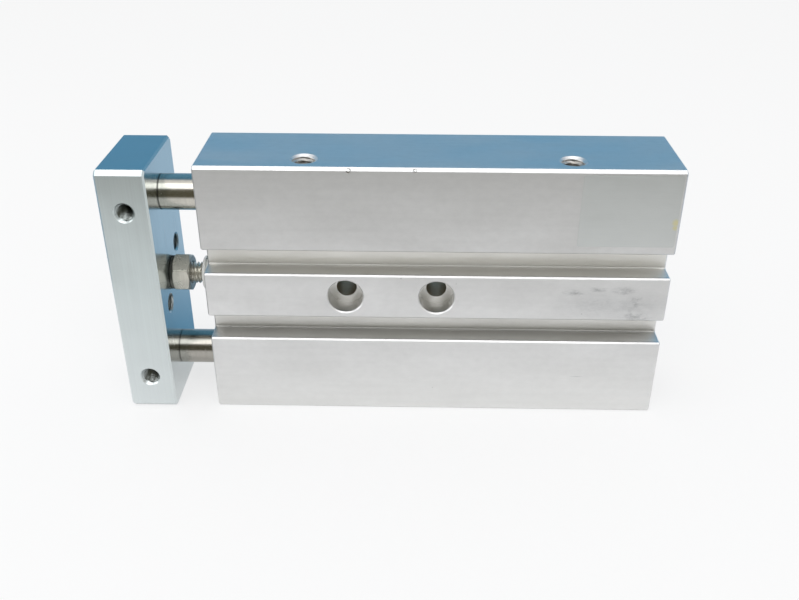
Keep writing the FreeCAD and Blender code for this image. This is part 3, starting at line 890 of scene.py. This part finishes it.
class CYLINDER_OT_adjusting_screw(bpy.types.Operator):
    """Makes the threaded adjusting screw with its key hole and tip"""

    bl_idname = "cylinder.adjusting_screw"
    bl_label = "Adjusting screw"

    def execute(self, context):
        sizes = context.scene.cylinder_threads
        start, end = ends_of("stop_screw")
        shoulder = end - 1.4
        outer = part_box("stop_screw")[1].z / MM
        core = outer - sizes.m5_depth
        socket = hexagon(2.5)
        build = bmesh.new()
        turned(build, [
            (start + 3.0, 0), (start + 3.0, socket), (start + 0.25, socket),
            (start, 1.62), (start, core - 0.25), (start + 0.25, core),
            (shoulder - 0.2, core), (shoulder, core - 0.2), (shoulder, 1.5),
            (end - 0.15, 1.5), (end, 1.35), (end, 0),
        ])
        bar = to_mesh(build, "adjusting_screw")
        first = (start + 0.3) * MM
        ridge = threads([(first, 0, 0)], (1, 0, 0), 2 * outer, sizes.m5_depth, sizes.m5_pitch,
                        shoulder - 0.1 - start - 0.3, "plated_steel", inside=False)
        new_piece("adjusting_screw", joined("adjusting_screw", [bar, ridge]), "screw",
                  "plated_steel", "stop_screw")
        return {"FINISHED"}


class CYLINDER_OT_hex_nut(bpy.types.Operator):
    """Makes the hexagon lock nut with a collar, turned faces and rounded corners"""

    bl_idname = "cylinder.hex_nut"
    bl_label = "Hexagon nut"

    def execute(self, context):
        sizes = context.scene.cylinder_fittings
        back, end = ends_of("lock_nut")
        start = back + sizes.nut_stand_off
        face, collar, bore = 3.75, 3.85, 2.5
        side, angles = rounded_hexagon(sizes.nut_across_flats, 0.28)

        def rise(angle):
            return (side(angle) - face) * math.tan(math.radians(30))

        build = bmesh.new()
        turned(build, [
            (start + 0.3, bore), (start, bore + 0.25), (back, bore + 0.25),
            (back, collar), (start, collar),
            (lambda angle: start + rise(angle), side), (lambda angle: end - rise(angle), side),
            (end, face), (end, bore + 0.25), (end - 0.3, bore),
        ], angles=angles, ring=True)
        new_piece("hex_nut", to_mesh(build, "hex_nut"), "nut", "plated_steel", "lock_nut",
                  sharp=20)
        return {"FINISHED"}


class CYLINDER_OT_soft_buffer(bpy.types.Operator):
    """Makes the pale buffer with rounded edges and a hole for the screw's tip"""

    bl_idname = "cylinder.soft_buffer"
    bl_label = "Soft buffer"

    def execute(self, context):
        start, end = ends_of("stop_buffer")
        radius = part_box("stop_buffer")[1].z / MM
        rounding = context.scene.cylinder_fittings.buffer_rounding
        back = rounded(start, radius, rounding, -1)
        face = rounded(end, radius, rounding, 1)
        build = bmesh.new()
        turned(build, [
            (start + 1.4, 0), (start + 1.4, 1.55), (start, 1.55),
            *back, *reversed(face), (end, 1.2), (end, 0),
        ])
        new_piece("soft_buffer", to_mesh(build, "soft_buffer"), "buffer", "buffer_plastic",
                  "stop_buffer")
        return {"FINISHED"}


class CYLINDER_OT_clamp_screws(bpy.types.Operator):
    """Makes the knurled socket head screws that hold the rods"""

    bl_idname = "cylinder.clamp_screws"
    bl_label = "Clamp screws"

    def execute(self, context):
        sizes = context.scene.cylinder_fittings
        start, end = ends_of("rod_screws")
        radius = (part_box("rod_screws")[1].z - rod_heights[0]) / MM
        seat = start + 4.0
        height = sizes.rib_height
        head = radius - height
        socket = hexagon(3.0)
        build = bmesh.new()
        for place in rod_heights:
            turned(build, [
                (start + 2.0, 0), (start + 2.0, socket), (start + 0.2, socket),
                (start, 1.9), (start, head - 0.3), (start + 0.3, head),
                (seat - 0.1, head), (seat, head - 0.1), (seat, 2.0),
                (end - 0.4, 2.0), (end, 1.6), (end, 0),
            ], place)
        bars = to_mesh(build, "clamp_screws")

        build = bmesh.new()
        width = 0.7 * math.pi * radius / sizes.rib_count
        corners = [(-height, -width), (height, 0), (-height, width)]
        prism(build, *[[(a, b, -x) for a, b in corners] for x in (start + 0.35, seat - 0.15)])
        rib = bpy.data.objects.new("rib", to_mesh(build, "rib"))
        ribs = grown(rib_tree(), [(0, 0, z) for z in rod_heights], {
            "Count": sizes.rib_count,
            "Radius": head * MM,
            "Rib": rib,
            "Finish": finish("plated_steel"),
        })
        remove(rib)
        new_piece("clamp_screws", joined("clamp_screws", [bars, ribs]), "carriage",
                  "plated_steel", "rod_screws")
        return {"FINISHED"}


class CYLINDER_OT_bore_clips(bpy.types.Operator):
    """Drills the plier holes into the lugs of the retaining rings"""

    bl_idname = "cylinder.bore_clips"
    bl_label = "Bore clips"

    def execute(self, context):
        radius = context.scene.cylinder_fittings.lug_hole / 2 * MM
        build = bmesh.new()
        build.from_mesh(frame["nodes"]["retaining_rings"].data)
        bmesh.ops.remove_doubles(build, verts=build.verts, dist=1e-7)
        holder = placed("bore_clips_blank", to_mesh(build, "bore_clips", outward=False))

        low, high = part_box("retaining_rings")
        thickness = 1.0
        from_axis = 6.4
        # Half of the angle between a clip's two lugs: its gap, and half a lug's width.
        half = math.radians(17) + math.asin(1.3 / from_axis)
        build = bmesh.new()
        for x in (low.x, high.x - thickness * MM):
            for height in rod_heights:
                inwards = -math.copysign(1, height)
                for hand in (1, -1):
                    centre = Vector((x + thickness / 2 * MM, hand * from_axis * math.sin(half) * MM,
                                     height + inwards * from_axis * math.cos(half) * MM))
                    bmesh.ops.create_cone(
                        build, cap_ends=True, segments=20, radius1=radius, radius2=radius,
                        depth=3 * thickness * MM,
                        matrix=Matrix.Translation(centre) @ Matrix.Rotation(math.pi / 2, 4, "Y"),
                    )
        drills = placed("drills", to_mesh(build, "drills"))
        cut = holder.modifiers.new("cut", "BOOLEAN")
        cut.operation = "DIFFERENCE"
        cut.solver = "EXACT"
        cut.object = drills
        mesh = evaluated(holder)
        remove(drills)
        new_piece("bore_clips", mesh, "block", "spring_steel", "retaining_rings")
        return {"FINISHED"}


class CYLINDER_OT_foil_label(bpy.types.Operator):
    """Sticks the bare foil label on the front of the block"""

    bl_idname = "cylinder.foil_label"
    bl_label = "Foil label"

    def execute(self, context):
        sizes = context.scene.cylinder_fittings
        right = block_high.x / MM - sizes.label_from_end
        left = right - sizes.label_length
        upper = top - sizes.label_from_top
        lower = upper - sizes.label_height
        r = sizes.label_corner
        outline = []
        for x, z, start in ((right - r, upper - r, 0), (left + r, upper - r, 90),
                            (left + r, lower + r, 180), (right - r, lower + r, 270)):
            for step in range(6):
                angle = math.radians(start + 18 * step)
                outline.append((x + r * math.cos(angle), z + r * math.sin(angle)))
        build = bmesh.new()
        prism(build, *[[(x, y, z) for x, z in outline]
                       for y in (front + 0.02, front - sizes.label_thickness)])
        new_piece("foil_label", to_mesh(build, "foil_label"), "block", "label_foil")
        return {"FINISHED"}


# ---- Studio ----

CARD_REACH = 900.0


def sheet(name, corners, faces, material):
    """A flat or bent sheet of the stage, with its corners in mm."""
    mesh = bpy.data.meshes.new(name)
    mesh.from_pydata([[v * MM for v in corner] for corner in corners], [], faces)
    mesh.materials.append(material)
    made = placed(name, mesh)
    return made


def card(name, rows):
    """A bent card that only the part's gloss sees; rows are (y, z, colour) in mm."""
    material = bpy.data.materials.new(name)
    tree = emptied(material)
    shade = add_node(tree, "ShaderNodeAttribute", attribute_name="tint")["Color"]
    glow = add_node(tree, "ShaderNodeEmission", {"Color": shade})
    add_node(tree, "ShaderNodeOutputMaterial", {0: glow})

    corners = [(x, y, z) for y, z, _ in rows for x in (-CARD_REACH, CARD_REACH)]
    faces = [(2 * i, 2 * i + 1, 2 * i + 3, 2 * i + 2) for i in range(len(rows) - 1)]
    made = sheet(name, corners, faces, material)
    tint = made.data.color_attributes.new("tint", "FLOAT_COLOR", "POINT")
    tint.data.foreach_set("color", [v for _, _, shade in rows for v in (*shade, 1.0) * 2])
    made.visible_camera = False
    made.visible_diffuse = False
    made.visible_shadow = False


def floor_material(shade):
    """Pale floor that is white to the eye and keeps a soft shadow, deeper in the gloss."""
    material = bpy.data.materials.new("floor")
    tree = emptied(material)
    rays = add_node(tree, "ShaderNodeLightPath")
    gloss = rays["Is Glossy Ray"].step("ADD", rays["Is Transmission Ray"], clamp=True)
    share = (rays["Is Camera Ray"] * 0.7).step("ADD", gloss * 0.45, clamp=True)
    matt = add_node(tree, "ShaderNodeBsdfDiffuse", {"Color": shade})
    white = add_node(tree, "ShaderNodeEmission")
    both = add_node(tree, "ShaderNodeMixShader", {0: share, 1: matt, 2: white})
    add_node(tree, "ShaderNodeOutputMaterial", {0: both})
    return material


def soft_lamp(name, place, size, power):
    """A soft square lamp that points at the part, with its place and size in mm."""
    lamp = bpy.data.lights.new(name, "AREA")
    lamp.shape = "RECTANGLE"
    lamp.size, lamp.size_y = size[0] * MM, size[1] * MM
    lamp.energy = power
    made = placed(name, lamp)
    made.location = Vector(place) * MM
    made.rotation_euler = (-Vector(place)).to_track_quat("-Z", "Y").to_euler()
    made.visible_camera = False


class CYLINDER_OT_studio(bpy.types.Operator):
    """Sets the camera, the pale floor, the cards and the soft lamps"""

    bl_idname = "cylinder.studio"
    bl_label = "Studio"

    def execute(self, context):
        scene = context.scene
        studio = scene.cylinder_studio
        lens = bpy.data.cameras.new("camera")
        lens.lens = studio.lens
        lens.clip_start, lens.clip_end = 0.01, 20.0
        camera = placed("camera", lens)
        camera.location = Vector(studio.camera_place) * MM
        camera.rotation_euler = Euler([math.radians(v) for v in studio.camera_turn])
        scene.camera = camera

        half = studio.floor_size / 2
        level = cad_bounds[0].z / MM
        corners = [(x * half, y * half, level) for x, y in ((-1, -1), (1, -1), (1, 1), (-1, 1))]
        sheet("floor", corners, [(0, 1, 2, 3)], floor_material(studio.floor))
        floor = level + 0.5
        # The card starts in the part's painted shadow just behind it and pales further back.
        card("sky", [(14, floor, studio.shade), (75, floor, studio.low_sky),
                     (420, floor, studio.low_sky), (420, 50, studio.low_sky),
                     (420, 150, studio.sky), (420, 520, studio.sky), (120, 690, studio.high_sky)])
        card("flag", [(-700, 700, (1, 1, 1)), (-700, 430, studio.flag), (-700, floor, studio.flag),
                      (-215, floor, studio.flag), (-110, floor, studio.floor)])
        soft_lamp("overhead", (0, -380, 620), (700, 420), studio.overhead)
        soft_lamp("side", (-620, -260, 260), (360, 360), studio.side)

        # The sky is white where it is looked at, and as bright as the setting in soft light.
        scene.world = bpy.data.worlds.new("studio")
        tree = emptied(scene.world)
        rays = add_node(tree, "ShaderNodeLightPath")
        seen = (rays["Is Camera Ray"] + rays["Is Glossy Ray"]).step(
            "ADD", rays["Is Transmission Ray"], clamp=True)
        sky = add_node(tree, "ShaderNodeBackground", {
            "Color": (1.0, 1.0, 1.0), "Strength": seen.between(studio.ambient, 1.0),
        })
        add_node(tree, "ShaderNodeOutputWorld", {0: sky})
        scene.view_settings.view_transform = "Standard"
        return {"FINISHED"}


class CYLINDER_PT_looks(bpy.types.Panel):
    """Settings and steps for the cylinder's looks"""

    bl_idname = "CYLINDER_PT_looks"
    bl_label = "Cylinder looks"
    bl_space_type = "VIEW_3D"
    bl_region_type = "UI"
    bl_category = "Cylinder"

    def draw(self, context):
        scene = context.scene
        for settings in (scene.cylinder_threads, scene.cylinder_fittings,
                         scene.cylinder_finishes, scene.cylinder_studio):
            box = self.layout.box()
            for name in settings.__annotations__:
                box.prop(settings, name)
        for step in STEPS:
            self.layout.operator(step.bl_idname)


STEPS = (
    CYLINDER_OT_finish_parts,
    CYLINDER_OT_port_threads,
    CYLINDER_OT_yoke_threads,
    CYLINDER_OT_adjusting_screw,
    CYLINDER_OT_hex_nut,
    CYLINDER_OT_soft_buffer,
    CYLINDER_OT_clamp_screws,
    CYLINDER_OT_bore_clips,
    CYLINDER_OT_foil_label,
    CYLINDER_OT_studio,
)
SETTINGS = {
    "cylinder_threads": ThreadSizes,
    "cylinder_fittings": FittingSizes,
    "cylinder_finishes": Finishes,
    "cylinder_studio": Studio,
}


def register():
    for kind in (*SETTINGS.values(), *STEPS, CYLINDER_PT_looks):
        bpy.utils.register_class(kind)
    for name, kind in SETTINGS.items():
        setattr(bpy.types.Scene, name, bpy.props.PointerProperty(type=kind))


def unregister():
    for name in SETTINGS:
        delattr(bpy.types.Scene, name)
    for kind in reversed((*SETTINGS.values(), *STEPS, CYLINDER_PT_looks)):
        bpy.utils.unregister_class(kind)


def main():
    register()
    bpy.ops.cylinder.finish_parts()
    bpy.ops.cylinder.port_threads()
    bpy.ops.cylinder.yoke_threads()
    bpy.ops.cylinder.adjusting_screw()
    bpy.ops.cylinder.hex_nut()
    bpy.ops.cylinder.soft_buffer()
    bpy.ops.cylinder.clamp_screws()
    bpy.ops.cylinder.bore_clips()
    bpy.ops.cylinder.foil_label()
    bpy.ops.cylinder.studio()


if __name__ == "__main__":
    main()
